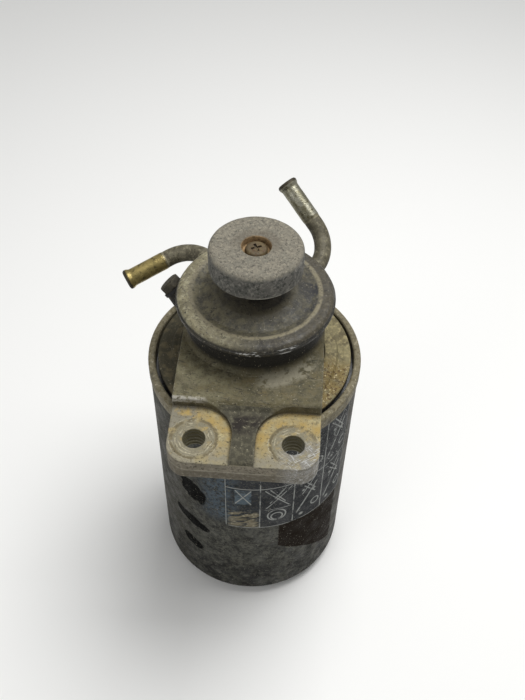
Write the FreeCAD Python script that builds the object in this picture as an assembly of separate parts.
"""Spin-on fuel filter with a hand primer on its head.

A painted steel canister screws onto the hollow stud of an aluminium head. The head carries a
diaphragm hand pump with a push knob, two check valves, two bent hose pipes, a vent plug and a
two-bolt flange. Millimetres, +Z up, origin at the centre of the canister's standing ring, and
the flange reaches towards -Y. One STEP file is written for each separate piece.
"""
import FreeCAD
import Part
import math
import os

V = FreeCAD.Vector
UP = V(0, 0, 1)

# ---------------------------------------------------------------- driving dimensions
# canister
CAN_DIAMETER = 93.0
CAN_HEIGHT = 141.0          # standing ring to the top of the seam
CAN_SHEET = 1.0
CAN_CORNER = 8.0            # outside radius round the base
SEAM_DEPTH = 6.5
SEAM_PROUD = 0.5
SEAM_WIDTH = 3.2
FOOT_WIDTH = 5.0            # flat of the standing ring
DISH_DEPTH = 5.0
DISH_SLOPE = 4.0            # radial run of the wall between standing ring and dish
FACE_DEPTH = 3.0            # gasket face below the top of the seam

# canister closure
THREAD_DIAMETER = 20.0      # M20 x 1.5
THREAD_PITCH = 1.5
GASKET_WIDTH = 5.5
GASKET_HEIGHT = 4.5
GASKET_LAND = 4.2           # head disc's edge to the gasket
GROOVE_PLAY = 0.3
RETAINER_SHEET = 1.0
RETAINER_LIP = 3.0
TAPPING_PLATE_THICKNESS = 4.0
TAPPING_COLLAR = 2.5
INLET_HOLES = 8
INLET_HOLE_DIAMETER = 6.0
STUD_REACH = 18.0           # stud below the gasket face
STUD_WALL = 3.6

# filter element
PLEATS = 44
PAPER = 0.7
ELEMENT_GAP = 4.5           # element to canister wall
CORE_RADIUS = 15.0
CORE_SHEET = 0.8
CORE_ROWS = 7
CORE_HOLES = 8
CORE_HOLE_DIAMETER = 5.0
CAP_SHEET = 0.8
CAP_LIP = 4.0
CAP_TO_PLATE = 3.5          # top end cap below the tapping plate
SEAL_HEIGHT = 4.0
SEAL_WALL = 3.0
ELEMENT_SPRING_HEIGHT = 12.0
ELEMENT_SPRING_WIRE = 2.0
ELEMENT_SPRING_TURNS = 3.0

# drain
DRAIN_THREAD = 12.0
DRAIN_PITCH = 1.5
DRAIN_HEAD = 18.0
DRAIN_HEAD_HEIGHT = 2.4
DRAIN_RING = 1.4            # O-ring section, pressed
DRAIN_NUT_HEIGHT = 6.0
DRAIN_SOCKET = 6.0          # hexagon socket, across flats

# head casting
DISC_GAP = 1.3              # seam to head disc
DISC_THICKNESS = 3.5
DISC_STEP_IN = 6.5
DISC_STEP = 2.5
BLOCK_WIDTH = 59.2
BLOCK_TOP = 23.0            # block above the gasket face, at the pump boss
RIDGE_DROP = 1.5            # block falls this much from the boss to its ridge
RIDGE_STEP = 3.0            # run of the step in front of the ridge
RIDGE_SET = 0.6             # ridge behind the pads' back wall
RIDGE_ROUND = 0.8
FLANGE_REACH = 70.0
FLANGE_BOTTOM = 6.5         # flange underside above the gasket face
PAD_THICKNESS = 10.0
PAD_DEPTH = 26.7            # pad, front to back
PAD_SINK = 2.0              # pads below the plateau in front of the ridge
RIB_WIDTH = 9.2
PAD_CORNER = 14.0
FLANGE_CORNER = 9.0
FLANGE_ROUND = 2.0
BOLT_SPACING = 38.5
BOLT_HOLE = 9.0
BOLT_SETBACK = 11.4         # hole centre behind the flange's front
FOOT_FILLET = 2.5
VOID_INNER = 14.0           # annular space under the disc
VOID_WALL = 2.0
VOID_HEIGHT = 10.0
STUD_SEAT = 12.0            # stud's length in the casting
GALLERY_RADIUS = 3.0

# hand pump
PUMP_BASE = 31.5            # chamber floor above the gasket face
CHAMBER_DEPTH = 7.3
CHAMBER_RADIUS = 26.0
CHAMBER_WALL = 3.6
WELL_RADIUS = 14.5
WELL_DEPTH = 8.5
RIM_THICKNESS = 1.3
RIM_OVERHANG = 1.8
DIAPHRAGM = 1.2
FOLD_DEPTH = 3.0            # diaphragm's fold below the casting's rim
DIAPHRAGM_MARGIN = 1.9      # rim's edge to the diaphragm's edge
COVER_SHEET = 0.9
COVER_PLAY = 0.1
COVER_WALL = 1.0            # cover's skirt, thickened by the crimp
BEAD_GROOVE = 0.5           # crimp bead stands this proud of the shoulder
SHOULDER_ROUND = 3.2
SHOULDER_FLAT = 2.7         # width of the shoulder's top
VALLEY_RADIUS = 22.8
VALLEY_DROP = 1.0
CROWN_RADIUS = 16.5
CROWN_RISE = 2.1
NECK_HEIGHT = 4.0
STROKE = 8.0
STROKE_PLAY = 0.5
ROD_DIAMETER = 8.0
ROD_TIP = 5.0
RUNNING = 0.05              # radial play of a moving fit
BUSH_WALL = 2.0
ROD_SEAL_HEIGHT = 1.5
PLATE_RADIUS = 12.5
PLATE = 1.0
PLATE_LIP = 1.5
NUT_FLATS = 8.0
NUT_HEIGHT = 3.5
RETURN_WIRE = 1.1
RETURN_TURNS = 4.5
RETURN_RADIUS = 9.0

# knob
KNOB_DIAMETER = 38.0
KNOB_HEIGHT = 11.0
KNOB_WALL = 2.5
KNOB_TOP = 3.5
KNOB_ROUND = 2.4
HUB_WALL = 3.5
HUB_DEPTH = 4.5
SOCKET_DEPTH = 2.5
KNOB_RECESS = 11.8
SCREW_HEAD = 9.0
SCREW_HEAD_HEIGHT = 2.6
SCREW_DIAMETER = 4.0
SCREW_LENGTH = 10.0
CROSS_WIDTH = 1.1
CROSS_SPAN = 4.4
CROSS_DEPTH = 0.8
CROSS_TURN = 25.0           # degrees

# check valves
VALVE_RADIUS = 20.5         # valves' distance from the pump's axis
VALVE_OUTER = 4.6
VALVE_PORT = 2.5
VALVE_SEAT = 1.5
VALVE_DISC = 3.7
VALVE_DISC_THICKNESS = 1.0
VALVE_LIFT = 0.8
CAGE_SHEET = 0.4
CAGE_PORT = 2.0
VALVE_WIRE = 0.5
VALVE_TURNS = 1.25
VALVE_SPRING_PLAY = 0.075   # left between the coils when the disc is fully lifted
OUTLET_VALVE_ANGLE = -90.0

# hose pipes: heading and slope in degrees
PIPE_HEIGHT = 26.5          # pipe axes above the gasket face
TUBE_DIAMETER = 7.6
SPIGOT_DIAMETER = 8.0
PIPE_BORE = 6.0
BEAD_DIAMETER = 9.2
BEAD_LENGTH = 2.4
SPIGOT_LENGTH = 20.0
PIPE_BEND = 16.0
PIPE_SEAT = 5.0             # pipe's length inside its boss
PIPE_BOSS = 12.6
PIPE_BOSS_OUT = 2.0
INLET_PIPE = {"place": 119.1, "heading": 144.0, "run": 12.7,
              "end_heading": 208.1, "slope": -17.0, "end_run": 21.9}
OUTLET_PIPE = {"place": 52.0, "heading": 50.6, "run": 7.6,
               "end_heading": 139.5, "slope": 34.5, "end_run": 22.8}

# vent
VENT_SEAT = V(-34.5, 7.5, 31.1)     # washer seat, above the gasket face
VENT_AXIS = V(-0.716, 0.261, 0.65)
VENT_THREAD = 6.0
VENT_PITCH = 1.0
VENT_FLATS = 9.0
VENT_HEAD_HEIGHT = 3.6
VENT_WASHER = 1.2
VENT_WASHER_DIAMETER = 10.6
VENT_BOSS = 9.6
VENT_BOSS_FOOT = 13.0
VENT_LENGTH = 9.0
VENT_PORT = 2.4

# ---------------------------------------------------------------- places worked out from them
CAN_RADIUS = CAN_DIAMETER / 2
CAN_INNER = CAN_RADIUS - CAN_SHEET
SEAM_INNER = CAN_RADIUS + SEAM_PROUD - SEAM_WIDTH
FACE_Z = CAN_HEIGHT - FACE_DEPTH
DISC_RADIUS = SEAM_INNER - DISC_GAP
GASKET_OUTER = DISC_RADIUS - GASKET_LAND
GASKET_INNER = GASKET_OUTER - GASKET_WIDTH
GROOVE_Z = FACE_Z - GASKET_HEIGHT
PLATE_TOP = GROOVE_Z - RETAINER_SHEET
PLATE_BOTTOM = PLATE_TOP - TAPPING_PLATE_THICKNESS
CAP_TOP = PLATE_BOTTOM - CAP_TO_PLATE
THREAD_RADIUS = THREAD_DIAMETER / 2
STUD_RADIUS = THREAD_RADIUS - RUNNING
ELEMENT_RADIUS = CAN_INNER - ELEMENT_GAP
DISH_TOP = DISH_DEPTH + CAN_SHEET
CAP_BOTTOM = DISH_TOP + ELEMENT_SPRING_HEIGHT

DISC_TOP = FACE_Z + DISC_THICKNESS
STEP_RADIUS = DISC_RADIUS - DISC_STEP_IN
STEP_TOP = DISC_TOP + DISC_STEP
BLOCK_HALF = BLOCK_WIDTH / 2
BLOCK_Z = FACE_Z + BLOCK_TOP
RIDGE_Z = BLOCK_Z - RIDGE_DROP
FLANGE_Z = FACE_Z + FLANGE_BOTTOM
PAD_Z = FLANGE_Z + PAD_THICKNESS
PLATEAU_Z = PAD_Z + PAD_SINK
PAD_BACK_Y = -FLANGE_REACH + PAD_DEPTH
BOLT_Y = -FLANGE_REACH + BOLT_SETBACK
BOSS_RADIUS = CHAMBER_RADIUS + CHAMBER_WALL

FLOOR_Z = FACE_Z + PUMP_BASE
WELL_Z = FLOOR_Z - WELL_DEPTH
RIM_Z = FLOOR_Z + CHAMBER_DEPTH
RIM_RADIUS = BOSS_RADIUS + RIM_OVERHANG
COVER_RADIUS = RIM_RADIUS + COVER_PLAY + COVER_WALL + BEAD_GROOVE
COVER_Z = RIM_Z + DIAPHRAGM + COVER_SHEET
CROWN_Z = COVER_Z + CROWN_RISE
NECK_Z = CROWN_Z + NECK_HEIGHT
ROD_RADIUS = ROD_DIAMETER / 2
BUSH_RADIUS = ROD_RADIUS + RUNNING + BUSH_WALL
PLATE_STACK_TOP = CROWN_Z - COVER_SHEET - COVER_PLAY
DIAPHRAGM_Z = PLATE_STACK_TOP - PLATE - DIAPHRAGM
LOWER_PLATE_Z = DIAPHRAGM_Z - PLATE
SEAL_TOP = NECK_Z + ROD_SEAL_HEIGHT
HUB_Z = SEAL_TOP + STROKE + STROKE_PLAY
KNOB_FLOOR = HUB_Z + HUB_DEPTH
KNOB_Z = KNOB_FLOOR + KNOB_TOP
ROD_TOP = HUB_Z + SOCKET_DEPTH
VALVE_SPRING_CLOSED = VALVE_WIRE * (VALVE_TURNS + 1) + VALVE_SPRING_PLAY
VALVE_CAGE = VALVE_DISC_THICKNESS + VALVE_LIFT + VALVE_SPRING_CLOSED + CAGE_SHEET
PIPE_Z = FACE_Z + PIPE_HEIGHT
CROSSOVER_Z = FACE_Z + STUD_SEAT + GALLERY_RADIUS


# ---------------------------------------------------------------- small tools
def polar(radius, degrees, z=0.0):
    """Point at a radius and a heading round the Z axis."""
    angle = math.radians(degrees)
    return V(radius * math.cos(angle), radius * math.sin(angle), z)


def heading(degrees, slope=0.0):
    """Unit vector from a heading round Z and a slope above the horizontal."""
    flat = math.cos(math.radians(slope))
    out = polar(flat, degrees)
    return V(out.x, out.y, math.sin(math.radians(slope)))


def outline(corners, place):
    """Closed wire through corners (a, b) or (a, b, radius), each radius a tangent arc.

    place turns the two coordinates of a corner into a point in space.
    """
    count = len(corners)
    spans = []
    for i, corner in enumerate(corners):
        here = place(corner[0], corner[1])
        radius = corner[2] if len(corner) > 2 else 0.0
        before = place(*corners[i - 1][:2])
        after = place(*corners[(i + 1) % count][:2])
        back = (before - here).normalize()
        on = (after - here).normalize()
        if radius == 0.0:
            spans.append((here, None, here))
            continue
        half = back.getAngle(on) / 2
        run = radius / math.tan(half)
        inward = (back + on).normalize()
        middle = here + inward * (radius / math.sin(half) - radius)
        spans.append((here + back * run, middle, here + on * run))
    edges = []
    for i, (start, middle, end) in enumerate(spans):
        if middle is not None:
            edges.append(Part.Arc(start, middle, end).toShape())
        following = spans[(i + 1) % count][0]
        if end.distanceToPoint(following) > 1e-6:
            edges.append(Part.LineSegment(end, following).toShape())
    return Part.Wire(edges)


def turned(corners):
    """Solid of revolution about Z from a closed outline of (radius, z) corners."""
    face = Part.Face(outline(corners, lambda r, z: V(r, 0, z)))
    return face.revolve(V(0, 0, 0), UP, 360)


def prism(corners, z0, z1):
    """Solid from a plan outline of (x, y) corners, between two heights."""
    face = Part.Face(outline(corners, lambda x, y: V(x, y, z0)))
    return face.extrude(V(0, 0, z1 - z0))


def rod(radius, start, end):
    """Round bar from one point to another."""
    along = end - start
    return Part.makeCylinder(radius, along.Length, start, along)


def ring(outer, inner, z0, z1):
    """Plain ring round Z."""
    return disc(outer, z0, z1).cut(disc(inner, z0, z1))


def disc(radius, z0, z1, centre=V(0, 0, 0)):
    """Plain disc or bar round a vertical axis."""
    return Part.makeCylinder(radius, z1 - z0, V(centre.x, centre.y, z0))


def hexagon(flats, z0, z1):
    """Hexagonal bar round Z, by its width across flats."""
    points = [polar(flats / math.sqrt(3), 60 * i) for i in range(6)]
    return prism([(point.x, point.y) for point in points], z0, z1)


def coil(radius, wire, z0, z1, turns):
    """Round-wire spring that just fits between two heights, swept along quarter turns."""
    height = z1 - z0 - wire
    spans = round(turns * 4)
    path = []
    for i in range(spans):
        span = Part.makeHelix(height / turns, height / spans, radius)
        span.translate(V(0, 0, i * height / spans))
        span.rotate(V(0, 0, 0), UP, i * 360 * turns / spans)
        path += span.Edges
    section = Part.Wire(Part.makeCircle(wire / 2, V(radius, 0, 0), V(0, 1, 0)))
    spring = Part.Wire(path).makePipeShell([section], True, True)
    spring.translate(V(0, 0, z0 + wire / 2))
    return spring


def moved(shape, offset):
    """Copy of a shape, shifted."""
    copy = shape.copy()
    copy.translate(offset)
    return copy


def stood_on(shape, seat, axis):
    """Copy of a shape made round Z, with its origin at seat and its Z along axis."""
    copy = shape.copy()
    turn = FreeCAD.Placement(seat, FreeCAD.Rotation(UP, axis))
    copy.Placement = turn.multiply(shape.Placement)
    return copy


# ---------------------------------------------------------------- canister
def canister_shell():
    """Drawn can: dished base on a flat standing ring, straight wall and rolled seam."""
    foot_outer = CAN_RADIUS - CAN_CORNER + 1.0
    foot_inner = foot_outer - FOOT_WIDTH
    dish = foot_inner - DISH_SLOPE
    hole = DRAIN_THREAD / 2 + RUNNING
    seam_outer = CAN_RADIUS + SEAM_PROUD
    seam_bottom = CAN_HEIGHT - SEAM_DEPTH
    sheet = CAN_SHEET
    return turned([
        (hole, DISH_DEPTH),
        (dish, DISH_DEPTH, 2.0),
        (foot_inner, 0.0, 1.5),
        (foot_outer, 0.0, CAN_CORNER * 0.6),
        (CAN_RADIUS, CAN_CORNER * 0.75, CAN_CORNER * 0.7),
        (CAN_RADIUS, seam_bottom - 0.6, 0.4),
        (seam_outer, seam_bottom, 0.5),
        (seam_outer, CAN_HEIGHT, 1.2),
        (SEAM_INNER, CAN_HEIGHT, 1.2),
        (SEAM_INNER, GROOVE_Z),
        (CAN_INNER, GROOVE_Z),
        (CAN_INNER, CAN_CORNER * 0.75 + sheet * 0.4, CAN_CORNER * 0.55),
        (foot_outer - sheet * 0.4, sheet, CAN_CORNER * 0.45),
        (foot_inner + sheet * 0.6, sheet, 0.8),
        (dish + sheet * 0.6, DISH_TOP, 1.4),
        (hole, DISH_TOP),
    ])


def gasket_retainer():
    """Stamped ring that closes the can and holds the gasket between two lips."""
    inner_lip = GASKET_INNER - GROOVE_PLAY
    outer_lip = GASKET_OUTER + GROOVE_PLAY
    lip_top = GROOVE_Z + RETAINER_LIP
    return turned([
        (inner_lip - RETAINER_SHEET, PLATE_TOP, 0.5),
        (CAN_INNER, PLATE_TOP),
        (CAN_INNER, GROOVE_Z),
        (outer_lip + RETAINER_SHEET, GROOVE_Z),
        (outer_lip + RETAINER_SHEET, lip_top, 0.3),
        (outer_lip, lip_top, 0.3),
        (outer_lip, GROOVE_Z),
        (inner_lip, GROOVE_Z),
        (inner_lip, lip_top, 0.3),
        (inner_lip - RETAINER_SHEET, lip_top, 0.3),
    ])


def tapping_plate():
    """Thick threaded plate under the retainer, with a ring of inlet holes."""
    plate = turned([
        (THREAD_RADIUS, PLATE_BOTTOM - TAPPING_COLLAR + 1.0, 0.3),
        (THREAD_RADIUS + 3.0, PLATE_BOTTOM - TAPPING_COLLAR + 1.0, 0.5),
        (THREAD_RADIUS + 3.0, PLATE_BOTTOM),
        (GASKET_OUTER, PLATE_BOTTOM, 0.5),
        (GASKET_OUTER, PLATE_TOP),
        (THREAD_RADIUS, PLATE_TOP, 0.3),
    ])
    pitch_radius = (THREAD_RADIUS + 3.0 + GASKET_INNER - RETAINER_SHEET) / 2
    for i in range(INLET_HOLES):
        centre = polar(pitch_radius, 360.0 * i / INLET_HOLES)
        plate = plate.cut(disc(INLET_HOLE_DIAMETER / 2, PLATE_BOTTOM, PLATE_TOP, centre))
    return plate


def canister_gasket():
    """Square-cut rubber ring that seals the canister to the head."""
    return turned([
        (GASKET_INNER, GROOVE_Z, 0.4),
        (GASKET_OUTER, GROOVE_Z, 0.4),
        (GASKET_OUTER, FACE_Z, 0.4),
        (GASKET_INNER, FACE_Z, 0.4),
    ])


def element_paper():
    """Pleated filter paper, a star of folds between the centre tube and the end caps' rims."""
    outside = []
    inside = []
    crest = ELEMENT_RADIUS - CAP_SHEET - 0.4
    root = CORE_RADIUS + 0.3
    for i in range(PLEATS):
        angle = 360.0 * i / PLEATS
        half = 180.0 / PLEATS
        outside += [polar(crest, angle), polar(root + 1.2 * PAPER, angle + half)]
        inside += [polar(crest - 6.0 * PAPER, angle), polar(root, angle + half)]
    z0 = CAP_BOTTOM + CAP_SHEET
    height = CAP_TOP - CAP_SHEET - z0
    star = [Part.Face(Part.makePolygon(line + [line[0]])) for line in (outside, inside)]
    bellows = star[0].cut(star[1]).extrude(V(0, 0, height))
    return moved(bellows, V(0, 0, z0))


def centre_tube():
    """Perforated steel tube that carries the paper."""
    z0 = CAP_BOTTOM + CAP_SHEET
    z1 = CAP_TOP - CAP_SHEET
    tube = ring(CORE_RADIUS, CORE_RADIUS - CORE_SHEET, z0, z1)
    pitch = (z1 - z0) / CORE_ROWS
    holes = []
    for row in range(CORE_ROWS):
        z = z0 + pitch * (row + 0.5)
        for i in range(CORE_HOLES // 2):
            angle = 360.0 * i / CORE_HOLES + (row % 2) * 180.0 / CORE_HOLES
            reach = polar(CORE_RADIUS + 1.0, angle)
            centre = V(0, 0, z)
            holes.append(rod(CORE_HOLE_DIAMETER / 2, centre - reach, centre + reach))
    return tube.cut(holes)


def top_end_cap():
    """Steel cap over the paper, with a collar round the stud seal."""
    collar = STUD_RADIUS + RUNNING + SEAL_WALL
    return turned([
        (collar, CAP_TOP - CAP_SHEET),
        (ELEMENT_RADIUS - CAP_SHEET, CAP_TOP - CAP_SHEET),
        (ELEMENT_RADIUS - CAP_SHEET, CAP_TOP - CAP_LIP),
        (ELEMENT_RADIUS, CAP_TOP - CAP_LIP),
        (ELEMENT_RADIUS, CAP_TOP, 0.8),
        (collar, CAP_TOP),
    ])


def bottom_end_cap():
    """Closed steel cap under the paper."""
    return turned([
        (0.0, CAP_BOTTOM),
        (ELEMENT_RADIUS, CAP_BOTTOM, 0.8),
        (ELEMENT_RADIUS, CAP_BOTTOM + CAP_LIP),
        (ELEMENT_RADIUS - CAP_SHEET, CAP_BOTTOM + CAP_LIP),
        (ELEMENT_RADIUS - CAP_SHEET, CAP_BOTTOM + CAP_SHEET),
        (0.0, CAP_BOTTOM + CAP_SHEET),
    ])


def stud_seal():
    """Rubber bush in the top end cap that seals the clean side on the stud."""
    bore = STUD_RADIUS + RUNNING
    collar = bore + SEAL_WALL
    z0 = CAP_TOP - CAP_SHEET - SEAL_HEIGHT
    return turned([
        (bore, z0, 0.3),
        (collar - CORE_SHEET, z0, 0.3),
        (collar - CORE_SHEET, CAP_TOP - CAP_SHEET),
        (collar, CAP_TOP - CAP_SHEET),
        (collar, CAP_TOP),
        (bore, CAP_TOP, 0.3),
    ])


def element_spring():
    """Coil spring that holds the element up against the closure."""
    return coil(CORE_RADIUS + 2.0, ELEMENT_SPRING_WIRE, DISH_TOP, CAP_BOTTOM, ELEMENT_SPRING_TURNS)


def drain_nut():
    """Threaded boss welded inside the dish."""
    bore = DRAIN_THREAD / 2 + RUNNING
    return turned([
        (bore, DISH_TOP),
        (DRAIN_HEAD / 2, DISH_TOP),
        (DRAIN_HEAD / 2, DISH_TOP + DRAIN_NUT_HEIGHT - 2.0),
        (DRAIN_HEAD / 2 - 2.0, DISH_TOP + DRAIN_NUT_HEIGHT, 0.8),
        (bore, DISH_TOP + DRAIN_NUT_HEIGHT, 0.3),
    ])


def drain_ring():
    """Rubber ring under the drain plug's head."""
    bore = DRAIN_THREAD / 2 + 2 * RUNNING
    return turned([
        (bore, DISH_DEPTH - DRAIN_RING, 0.4),
        (bore + 2.0, DISH_DEPTH - DRAIN_RING, 0.4),
        (bore + 2.0, DISH_DEPTH, 0.4),
        (bore, DISH_DEPTH, 0.4),
    ])


def drain_plug():
    """Low-headed drain screw with a hexagon socket, turned from below."""
    head_top = DISH_DEPTH - DRAIN_RING
    head_bottom = head_top - DRAIN_HEAD_HEIGHT
    plug = turned([
        (0.0, head_bottom),
        (DRAIN_HEAD / 2, head_bottom, 0.8),
        (DRAIN_HEAD / 2, head_top, 0.3),
        (DRAIN_THREAD / 2, head_top),
        (DRAIN_THREAD / 2, DISH_TOP + DRAIN_NUT_HEIGHT - 1.0, 0.8),
        (0.0, DISH_TOP + DRAIN_NUT_HEIGHT - 1.0),
    ])
    return plug.cut(hexagon(DRAIN_SOCKET, head_bottom, head_bottom + DRAIN_HEAD_HEIGHT + 1.5))


# ---------------------------------------------------------------- hose pipes
def pipe_route(pipe):
    """Start, bend start, bend axis, bend end and mouth of a pipe, with its two headings."""
    start = polar(BOSS_RADIUS, pipe["place"], PIPE_Z)
    first = heading(pipe["heading"])
    last = heading(pipe["end_heading"], pipe["slope"])
    bend_start = start + first * pipe["run"]
    inward = (last - first * last.dot(first)).normalize()
    centre = bend_start + inward * PIPE_BEND
    turn = first.getAngle(last)
    bend_end = centre + (first * math.sin(turn) - inward * math.cos(turn)) * PIPE_BEND
    mouth = bend_end + last * pipe["end_run"]
    return {"start": start, "first": first, "last": last, "bend_start": bend_start,
            "centre": centre, "axis": first.cross(last), "turn": math.degrees(turn),
            "bend_end": bend_end, "mouth": mouth}


def bent_bar(route, radius, start, mouth):
    """Solid bar of one radius along a pipe's two straights and its bend."""
    circle = Part.makeCircle(radius, route["bend_start"], route["first"])
    section = Part.Face(Part.Wire(circle))
    elbow = section.revolve(route["centre"], route["axis"], route["turn"])
    return elbow.fuse([rod(radius, start, route["bend_start"]), rod(radius, route["bend_end"], mouth)])


def hose_pipe(pipe):
    """Bent steel tube with a swollen spigot and a hose bead at its mouth."""
    route = pipe_route(pipe)
    inner_end = route["start"] - route["first"] * PIPE_SEAT
    body = bent_bar(route, TUBE_DIAMETER / 2, inner_end, route["mouth"])
    bead = BEAD_DIAMETER / 2
    spigot = SPIGOT_DIAMETER / 2
    land = BEAD_LENGTH / 2
    end = turned([
        (0.0, -SPIGOT_LENGTH),
        (spigot, -SPIGOT_LENGTH, 0.15),
        (spigot, -BEAD_LENGTH - 0.6, 0.5),
        (bead, -land - 0.6, 0.3),
        (bead, -0.6),
        (bead - 0.6, 0.0),
        (0.0, 0.0),
    ])
    body = body.fuse(stood_on(end, route["mouth"], route["last"]))
    return body.cut(bent_bar(route, PIPE_BORE / 2, inner_end, route["mouth"]))


# ---------------------------------------------------------------- head casting
def flange_block():
    """Block from the pump boss forward to the bolt flange, with sunk pads and a middle rib."""
    side = [
        (-FLANGE_REACH, FLANGE_Z, 1.0),
        (-FLANGE_REACH, PLATEAU_Z, FLANGE_ROUND),
        (PAD_BACK_Y - RIDGE_STEP, PLATEAU_Z),
        (PAD_BACK_Y - RIDGE_STEP, BLOCK_Z),
        (0.0, BLOCK_Z),
        (0.0, FLANGE_Z),
    ]
    face = Part.Face(outline(side, lambda y, z: V(-BLOCK_HALF, y, z)))
    block = face.extrude(V(BLOCK_WIDTH, 0, 0))
    plan = prism([
        (-BLOCK_HALF, 0.0),
        (-BLOCK_HALF, -FLANGE_REACH, FLANGE_CORNER),
        (BLOCK_HALF, -FLANGE_REACH, FLANGE_CORNER),
        (BLOCK_HALF, 0.0),
    ], FLANGE_Z, BLOCK_Z)
    block = block.common(plan).cut(above_ridge())
    for side_x in (-1, 1):
        hole = disc(BOLT_HOLE / 2, FLANGE_Z, BLOCK_Z, bolt_place(side_x))
        block = block.cut([pad_pocket(side_x), hole])
    return block


def above_ridge():
    """Space over the block: a gentle fall to the ridge, then a step down to the plateau."""
    beyond = 2 * FLANGE_REACH
    ridge_y = PAD_BACK_Y + RIDGE_SET
    side = [
        (-beyond, PLATEAU_Z),
        (ridge_y - RIDGE_STEP, PLATEAU_Z, RIDGE_ROUND),
        (ridge_y, RIDGE_Z, RIDGE_ROUND),
        (-BOSS_RADIUS, BLOCK_Z),
        (-BOSS_RADIUS, BLOCK_Z + beyond),
        (-beyond, BLOCK_Z + beyond),
    ]
    face = Part.Face(outline(side, lambda y, z: V(-beyond, y, z)))
    return face.extrude(V(2 * beyond, 0, 0))


def pad_pocket(side_x):
    """Sunk pad round one bolt hole, open to the flange's side and front."""
    beyond = FLANGE_REACH + 10.0
    return prism([
        (side_x * RIB_WIDTH / 2, PAD_BACK_Y, PAD_CORNER),
        (side_x * RIB_WIDTH / 2, -beyond),
        (side_x * beyond, -beyond),
        (side_x * beyond, PAD_BACK_Y),
    ], PAD_Z, BLOCK_Z)


def bolt_place(side_x):
    """Centre of one bolt hole in plan."""
    return V(side_x * BOLT_SPACING / 2, BOLT_Y, 0)


def head_disc():
    """Round base of the head with a stepped top, gasket face below."""
    return turned([
        (0.0, FACE_Z),
        (DISC_RADIUS, FACE_Z, 0.5),
        (DISC_RADIUS, DISC_TOP, 0.8),
        (STEP_RADIUS + 1.0, DISC_TOP, 0.6),
        (STEP_RADIUS, STEP_TOP, 0.8),
        (STEP_RADIUS - 2.0, STEP_TOP, 0.4),
        (STEP_RADIUS - 2.6, STEP_TOP + 0.6, 0.3),
        (0.0, STEP_TOP + 0.6),
    ])


def pump_boss():
    """Round boss that carries the pump chamber, with its clamping rim on top."""
    return turned([
        (0.0, DISC_TOP),
        (BOSS_RADIUS, DISC_TOP),
        (BOSS_RADIUS, RIM_Z - RIM_THICKNESS, 0.3),
        (RIM_RADIUS, RIM_Z - RIM_THICKNESS, 0.3),
        (RIM_RADIUS, RIM_Z, 0.3),
        (0.0, RIM_Z),
    ])


def boss_foot():
    """Concave fillet where the pump boss meets the block, kept within the block's width."""
    reach = BOSS_RADIUS + FOOT_FILLET
    hollow = reach * 2
    foot = turned([
        (BOSS_RADIUS - 1.0, FLANGE_Z),
        (hollow, FLANGE_Z),
        (hollow, BLOCK_Z - RIDGE_DROP),
        (reach, BLOCK_Z - 0.3),
        (BOSS_RADIUS + 0.01, BLOCK_Z, FOOT_FILLET),
        (BOSS_RADIUS, BLOCK_Z + 2 * FOOT_FILLET),
        (BOSS_RADIUS - 1.0, BLOCK_Z + 2 * FOOT_FILLET),
    ])
    ahead = Part.makeBox(BLOCK_WIDTH, reach, BLOCK_Z, V(-BLOCK_HALF, -reach, BLOCK_Z / 4))
    return foot.common(ahead)


def vent_seat():
    """Washer seat of the vent plug, in the head's own place."""
    return VENT_SEAT + V(0, 0, FACE_Z)


def vent_axis():
    """Unit vector that the vent plug leaves along."""
    return V(VENT_AXIS).normalize()


def casting_bosses():
    """Bosses for the two pipes and the vent plug, reaching into the pump boss."""
    bosses = []
    for pipe in (INLET_PIPE, OUTLET_PIPE):
        route = pipe_route(pipe)
        inner = route["start"] - route["first"] * (BOSS_RADIUS * 0.4)
        bosses.append(rod(PIPE_BOSS / 2, inner, route["start"] + route["first"] * PIPE_BOSS_OUT))
    length = VENT_BOSS_FOOT
    cone = Part.makeCone(VENT_BOSS / 2 + 2.4, VENT_BOSS / 2, length)
    bosses.append(stood_on(moved(cone, V(0, 0, -length)), vent_seat(), vent_axis()))
    return bosses


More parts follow.
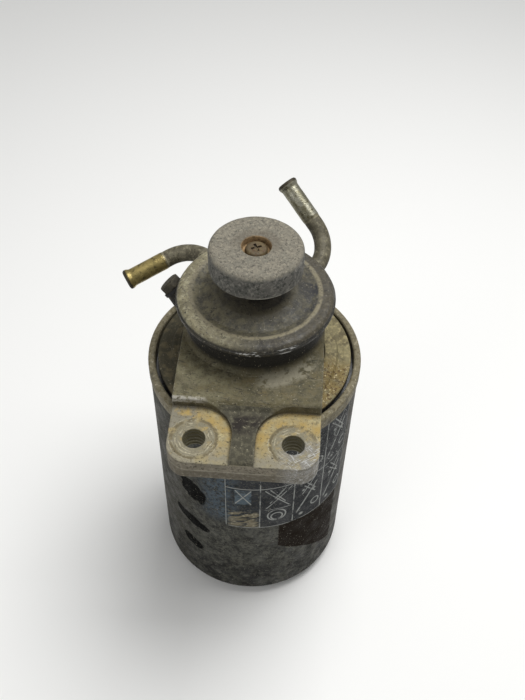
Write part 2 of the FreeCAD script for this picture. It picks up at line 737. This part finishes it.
def casting_passages():
    """Everything bored or cored out of the head."""
    stud_top = FACE_Z + STUD_SEAT
    bore = STUD_RADIUS - STUD_WALL
    void = ring(GASKET_INNER - VOID_WALL, VOID_INNER, FACE_Z, FACE_Z + VOID_HEIGHT)
    cuts = [
        disc(STUD_RADIUS, FACE_Z, stud_top),
        disc(bore, stud_top, CROSSOVER_Z + GALLERY_RADIUS),
        void,
        disc(CHAMBER_RADIUS, FLOOR_Z, RIM_Z),
        disc(WELL_RADIUS, WELL_Z, FLOOR_Z),
    ]
    for pipe in (INLET_PIPE, OUTLET_PIPE):
        route = pipe_route(pipe)
        seat = route["start"] - route["first"] * PIPE_SEAT
        cuts.append(rod(TUBE_DIAMETER / 2, seat, route["bend_start"]))
    inlet = inlet_valve_place()
    outlet = outlet_valve_place()
    inlet_seat = pipe_route(INLET_PIPE)
    cuts += [
        rod(GALLERY_RADIUS, V(inlet.x, inlet.y, PIPE_Z), inlet_seat["start"]),
        disc(GALLERY_RADIUS, PIPE_Z, FLOOR_Z, inlet),
        disc(VALVE_OUTER, FLOOR_Z - VALVE_SEAT, FLOOR_Z, inlet),
        disc(VALVE_OUTER, FLOOR_Z - VALVE_SEAT - VALVE_CAGE, FLOOR_Z, outlet),
        disc(GALLERY_RADIUS, FACE_Z + VOID_HEIGHT - 1.0, FLOOR_Z, outlet),
    ]
    outlet_route = pipe_route(OUTLET_PIPE)
    drop = outlet_route["start"] - outlet_route["first"] * (BOSS_RADIUS - VALVE_RADIUS + 1.0)
    cuts += [
        rod(GALLERY_RADIUS, drop, outlet_route["start"]),
        disc(GALLERY_RADIUS, CROSSOVER_Z, PIPE_Z, drop),
        rod(GALLERY_RADIUS, V(0, 0, CROSSOVER_Z), V(drop.x, drop.y, CROSSOVER_Z)),
        Part.makeSphere(GALLERY_RADIUS, drop),
        Part.makeSphere(GALLERY_RADIUS, V(drop.x, drop.y, CROSSOVER_Z)),
    ]
    thread = VENT_THREAD / 2 + RUNNING
    cuts += [
        rod(thread, vent_seat() - vent_axis() * (VENT_LENGTH + 1.0), vent_seat() + vent_axis() * 5.0),
        rod(VENT_PORT / 2, vent_seat() - vent_axis() * 34.0, vent_seat()),
    ]
    return cuts


def inlet_valve_place():
    """Point on the chamber floor where the inlet gallery comes up."""
    route = pipe_route(INLET_PIPE)
    start = V(route["start"].x, route["start"].y, 0)
    along = start.dot(route["first"])
    nearest = (start - route["first"] * along).Length
    inward = along - math.sqrt(VALVE_RADIUS ** 2 - nearest ** 2)
    spot = start - route["first"] * inward
    return V(spot.x, spot.y, FLOOR_Z)


def outlet_valve_place():
    """Point on the chamber floor over the passage down to the canister."""
    return polar(VALVE_RADIUS, OUTLET_VALVE_ANGLE, FLOOR_Z)


def head_casting():
    """Die-cast head: disc, block with flange, pump boss and side bosses, then its passages."""
    body = head_disc().fuse([flange_block(), pump_boss(), boss_foot()] + casting_bosses())
    return body.cut(casting_passages())


def centre_stud():
    """Hollow threaded stud that the canister screws onto."""
    bore = STUD_RADIUS - STUD_WALL
    return turned([
        (bore, FACE_Z - STUD_REACH, 0.4),
        (STUD_RADIUS - 1.0, FACE_Z - STUD_REACH),
        (STUD_RADIUS, FACE_Z - STUD_REACH + 1.0),
        (STUD_RADIUS, FACE_Z + STUD_SEAT),
        (bore, FACE_Z + STUD_SEAT),
    ])


# ---------------------------------------------------------------- vent
def vent_washer():
    """Soft sealing washer under the vent plug's head."""
    bore = VENT_THREAD / 2 + 2 * RUNNING
    washer = ring(VENT_WASHER_DIAMETER / 2, bore, 0.0, VENT_WASHER)
    return stood_on(washer, vent_seat(), vent_axis())


def vent_plug():
    """Hexagon-headed vent screw with a rounded crown."""
    top = VENT_WASHER + VENT_HEAD_HEIGHT
    crown = turned([
        (0.0, VENT_WASHER),
        (VENT_FLATS / 2 + 0.15, VENT_WASHER),
        (VENT_FLATS / 2 + 0.6, VENT_WASHER + 0.6),
        (VENT_FLATS / 2 + 0.6, top, 1.6),
        (0.0, top),
    ])
    head = hexagon(VENT_FLATS, VENT_WASHER, top).common(crown)
    shank = turned([
        (0.0, -VENT_LENGTH),
        (VENT_THREAD / 2 - 0.8, -VENT_LENGTH),
        (VENT_THREAD / 2, -VENT_LENGTH + 0.8),
        (VENT_THREAD / 2, VENT_WASHER),
        (0.0, VENT_WASHER),
    ])
    return stood_on(head.fuse(shank), vent_seat(), vent_axis())


# ---------------------------------------------------------------- hand pump
def pump_cover():
    """Pressed steel cover crimped round the rim: bead, round shoulder, valley, crown and neck."""
    sheet = COVER_SHEET
    inner_curl = BOSS_RADIUS + 0.4
    curl_z = RIM_Z - RIM_THICKNESS
    bead_z = curl_z + 0.7
    skirt = RIM_RADIUS + COVER_PLAY
    shoulder = COVER_RADIUS - BEAD_GROOVE
    flat_in = shoulder_inner()
    valley_z = COVER_Z - VALLEY_DROP
    neck = BUSH_RADIUS + sheet
    return turned([
        (inner_curl, curl_z - sheet),
        (COVER_RADIUS, curl_z - sheet, 0.6),
        (COVER_RADIUS, bead_z, 0.4),
        (shoulder, bead_z + 0.3, 0.2),
        (shoulder, COVER_Z, SHOULDER_ROUND * 0.8),
        (flat_in, COVER_Z - 0.1, 1.0),
        (VALLEY_RADIUS, valley_z, 2.0),
        (CROWN_RADIUS, CROWN_Z, 2.0),
        (neck, CROWN_Z, 1.2),
        (neck, NECK_Z, 0.3),
        (BUSH_RADIUS, NECK_Z),
        (BUSH_RADIUS, CROWN_Z - sheet, 0.3),
        (CROWN_RADIUS - 0.4, CROWN_Z - sheet, 1.2),
        (VALLEY_RADIUS, valley_z - sheet, 2.0),
        (flat_in - 0.4, COVER_Z - sheet, 0.5),
        (skirt - 1.5, COVER_Z - sheet, 0.8),
        (skirt, RIM_Z, 0.3),
        (skirt, curl_z),
        (inner_curl, curl_z),
    ])


def shoulder_inner():
    """Inner radius of the cover's flat shoulder, where the diaphragm's clamped edge ends."""
    return COVER_RADIUS - BEAD_GROOVE - SHOULDER_ROUND - SHOULDER_FLAT


def rod_bush():
    """Plain bush pressed into the cover's neck to guide the rod."""
    return ring(BUSH_RADIUS, ROD_RADIUS + RUNNING, CROWN_Z - COVER_SHEET, NECK_Z)


def rod_seal():
    """Rubber wiper that caps the neck round the rod."""
    neck = BUSH_RADIUS + COVER_SHEET
    return turned([
        (ROD_RADIUS + RUNNING, NECK_Z),
        (neck, NECK_Z),
        (neck, NECK_Z + ROD_SEAL_HEIGHT, 0.8),
        (ROD_RADIUS + RUNNING, NECK_Z + ROD_SEAL_HEIGHT),
    ])


def pump_diaphragm():
    """Rubber diaphragm: clamped rim, one downward fold and a flat middle between the plates."""
    fold_z = RIM_Z - FOLD_DEPTH
    fold = (PLATE_RADIUS + CHAMBER_RADIUS) / 2
    top = DIAPHRAGM_Z + DIAPHRAGM
    edge = RIM_RADIUS - DIAPHRAGM_MARGIN
    clamped = shoulder_inner() + 0.2
    return turned([
        (ROD_TIP / 2, DIAPHRAGM_Z),
        (PLATE_RADIUS + 1.2, DIAPHRAGM_Z, 1.0),
        (fold, fold_z, 3.0),
        (CHAMBER_RADIUS - 0.8, RIM_Z, 1.0),
        (edge, RIM_Z),
        (edge, RIM_Z + DIAPHRAGM),
        (clamped, RIM_Z + DIAPHRAGM, 0.5),
        (fold, fold_z + DIAPHRAGM * 1.1, 3.0),
        (PLATE_RADIUS + 1.8, top, 1.0),
        (ROD_TIP / 2, top),
    ])


def upper_plate():
    """Washer plate above the diaphragm."""
    return ring(PLATE_RADIUS, ROD_TIP / 2, DIAPHRAGM_Z + DIAPHRAGM, PLATE_STACK_TOP)


def lower_plate():
    """Cupped plate under the diaphragm that centres the return spring."""
    lip = PLATE_LIP
    return turned([
        (ROD_TIP / 2, LOWER_PLATE_Z),
        (PLATE_RADIUS - PLATE, LOWER_PLATE_Z),
        (PLATE_RADIUS - PLATE, LOWER_PLATE_Z - lip),
        (PLATE_RADIUS, LOWER_PLATE_Z - lip),
        (PLATE_RADIUS, LOWER_PLATE_Z + PLATE, 0.6),
        (ROD_TIP / 2, LOWER_PLATE_Z + PLATE),
    ])


def rod_nut():
    """Nut that clamps the plates to the rod."""
    nut = hexagon(NUT_FLATS, LOWER_PLATE_Z - NUT_HEIGHT, LOWER_PLATE_Z)
    return nut.cut(disc(ROD_TIP / 2, LOWER_PLATE_Z - NUT_HEIGHT, LOWER_PLATE_Z))


def pump_rod():
    """Steel rod, reduced below its shoulder and tapped at its top."""
    tip_z = LOWER_PLATE_Z - NUT_HEIGHT - 0.8
    body = turned([
        (0.0, tip_z),
        (ROD_TIP / 2, tip_z, 0.4),
        (ROD_TIP / 2, PLATE_STACK_TOP),
        (ROD_RADIUS, PLATE_STACK_TOP),
        (ROD_RADIUS, ROD_TOP, 0.4),
        (0.0, ROD_TOP),
    ])
    return body.cut(disc(SCREW_DIAMETER / 2, KNOB_FLOOR - SCREW_LENGTH - 1.0, ROD_TOP))


def return_spring():
    """Coil spring that lifts the rod and the knob."""
    return coil(RETURN_RADIUS, RETURN_WIRE, WELL_Z, LOWER_PLATE_Z, RETURN_TURNS)


def pump_knob():
    """Push knob: domed-edge cap with a skirt, a hub on the rod and a recess for its screw."""
    radius = KNOB_DIAMETER / 2
    ceiling = KNOB_Z - KNOB_TOP
    hub = ROD_RADIUS + HUB_WALL
    socket = HUB_Z + SOCKET_DEPTH
    return turned([
        (SCREW_DIAMETER / 2 + RUNNING, socket),
        (ROD_RADIUS, socket),
        (ROD_RADIUS, HUB_Z),
        (hub, HUB_Z, 0.5),
        (hub, ceiling, 1.0),
        (radius - KNOB_WALL, ceiling, 1.5),
        (radius - KNOB_WALL, KNOB_Z - KNOB_HEIGHT, 0.5),
        (radius, KNOB_Z - KNOB_HEIGHT, 0.6),
        (radius, KNOB_Z, KNOB_ROUND),
        (KNOB_RECESS / 2, KNOB_Z, 0.6),
        (KNOB_RECESS / 2, KNOB_FLOOR, 0.5),
        (SCREW_DIAMETER / 2 + RUNNING, KNOB_FLOOR),
    ])


def knob_screw():
    """Pan-head cross-recess screw that holds the knob on its rod."""
    top = KNOB_FLOOR + SCREW_HEAD_HEIGHT
    screw = turned([
        (0.0, KNOB_FLOOR - SCREW_LENGTH),
        (SCREW_DIAMETER / 2, KNOB_FLOOR - SCREW_LENGTH, 0.4),
        (SCREW_DIAMETER / 2, KNOB_FLOOR),
        (SCREW_HEAD / 2, KNOB_FLOOR),
        (SCREW_HEAD / 2, top, 1.5),
        (0.0, top),
    ])
    slots = []
    for turn in (CROSS_TURN, CROSS_TURN + 90):
        corner = V(-CROSS_SPAN / 2, -CROSS_WIDTH / 2, top - CROSS_DEPTH)
        slot = Part.makeBox(CROSS_SPAN, CROSS_WIDTH, CROSS_DEPTH, corner)
        slot.rotate(V(0, 0, 0), UP, turn)
        slots.append(slot)
    return screw.cut(slots)


# ---------------------------------------------------------------- check valves
# Each valve is made round Z from its seat's disc side, then placed; the outlet valve hangs
# upside down below the floor.
def valve_seat():
    """Brass ring with a port; its top is the sealing face."""
    return ring(VALVE_OUTER, VALVE_PORT, -VALVE_SEAT, 0.0)


def valve_disc():
    """Flat rubber-faced disc that rests on the seat."""
    return turned([
        (0.0, 0.0),
        (VALVE_DISC, 0.0, 0.2),
        (VALVE_DISC, VALVE_DISC_THICKNESS, 0.3),
        (0.0, VALVE_DISC_THICKNESS),
    ])


def valve_cage():
    """Cup over the disc that holds its spring, with side windows and a port."""
    inner = VALVE_OUTER - CAGE_SHEET
    cup = turned([
        (inner, 0.0),
        (VALVE_OUTER, 0.0),
        (VALVE_OUTER, VALVE_CAGE, 0.6),
        (CAGE_PORT, VALVE_CAGE),
        (CAGE_PORT, VALVE_CAGE - CAGE_SHEET),
        (inner, VALVE_CAGE - CAGE_SHEET, 0.2),
    ])
    window = 2.2
    gap = Part.makeBox(2 * VALVE_OUTER + 1.0, window, 1.6, V(-VALVE_OUTER - 0.5, -window / 2, 0.5))
    crossing = gap.copy()
    crossing.rotate(V(0, 0, 0), UP, 90)
    return cup.cut([gap, crossing])


def valve_spring():
    """Light coil between the disc and the cage."""
    under_cap = VALVE_CAGE - CAGE_SHEET
    return coil(CAGE_PORT + 0.8, VALVE_WIRE, VALVE_DISC_THICKNESS, under_cap, VALVE_TURNS)


def at_inlet(shape):
    """Place a valve piece on the chamber floor, opening upwards."""
    return moved(shape, inlet_valve_place())


def at_outlet(shape):
    """Place a valve piece under the chamber floor, opening downwards."""
    return stood_on(shape, outlet_valve_place() - V(0, 0, VALVE_SEAT), V(0, 0, -1))


# ---------------------------------------------------------------- pieces and files
PIECES = {
    "head_casting": head_casting,
    "centre_stud": centre_stud,
    "inlet_pipe": lambda: hose_pipe(INLET_PIPE),
    "outlet_pipe": lambda: hose_pipe(OUTLET_PIPE),
    "pump_cover": pump_cover,
    "rod_bush": rod_bush,
    "rod_seal": rod_seal,
    "pump_diaphragm": pump_diaphragm,
    "return_spring": return_spring,
    "inlet_valve_seat": lambda: at_inlet(valve_seat()),
    "inlet_valve_cage": lambda: at_inlet(valve_cage()),
    "inlet_valve_spring": lambda: at_inlet(valve_spring()),
    "inlet_valve_disc": lambda: at_inlet(valve_disc()),
    "outlet_valve_seat": lambda: at_outlet(valve_seat()),
    "outlet_valve_cage": lambda: at_outlet(valve_cage()),
    "outlet_valve_spring": lambda: at_outlet(valve_spring()),
    "outlet_valve_disc": lambda: at_outlet(valve_disc()),
    "pump_knob": pump_knob,
    "knob_screw": knob_screw,
    "pump_rod": pump_rod,
    "upper_plate": upper_plate,
    "lower_plate": lower_plate,
    "rod_nut": rod_nut,
    "vent_washer": vent_washer,
    "vent_plug": vent_plug,
    "canister_gasket": canister_gasket,
    "canister_shell": canister_shell,
    "gasket_retainer": gasket_retainer,
    "tapping_plate": tapping_plate,
    "stud_seal": stud_seal,
    "element_paper": element_paper,
    "centre_tube": centre_tube,
    "top_end_cap": top_end_cap,
    "bottom_end_cap": bottom_end_cap,
    "element_spring": element_spring,
    "drain_nut": drain_nut,
    "drain_ring": drain_ring,
    "drain_plug": drain_plug,
}

os.makedirs("parts", exist_ok=True)
for name, make in PIECES.items():
    solid = make()
    if not solid.isValid() or solid.Volume <= 0:
        raise ValueError(name + " is not a sound solid")
    solid.exportStep("parts/" + name + ".step")
    print(name, len(solid.Solids), "solid", round(solid.Volume, 1), "mm3")
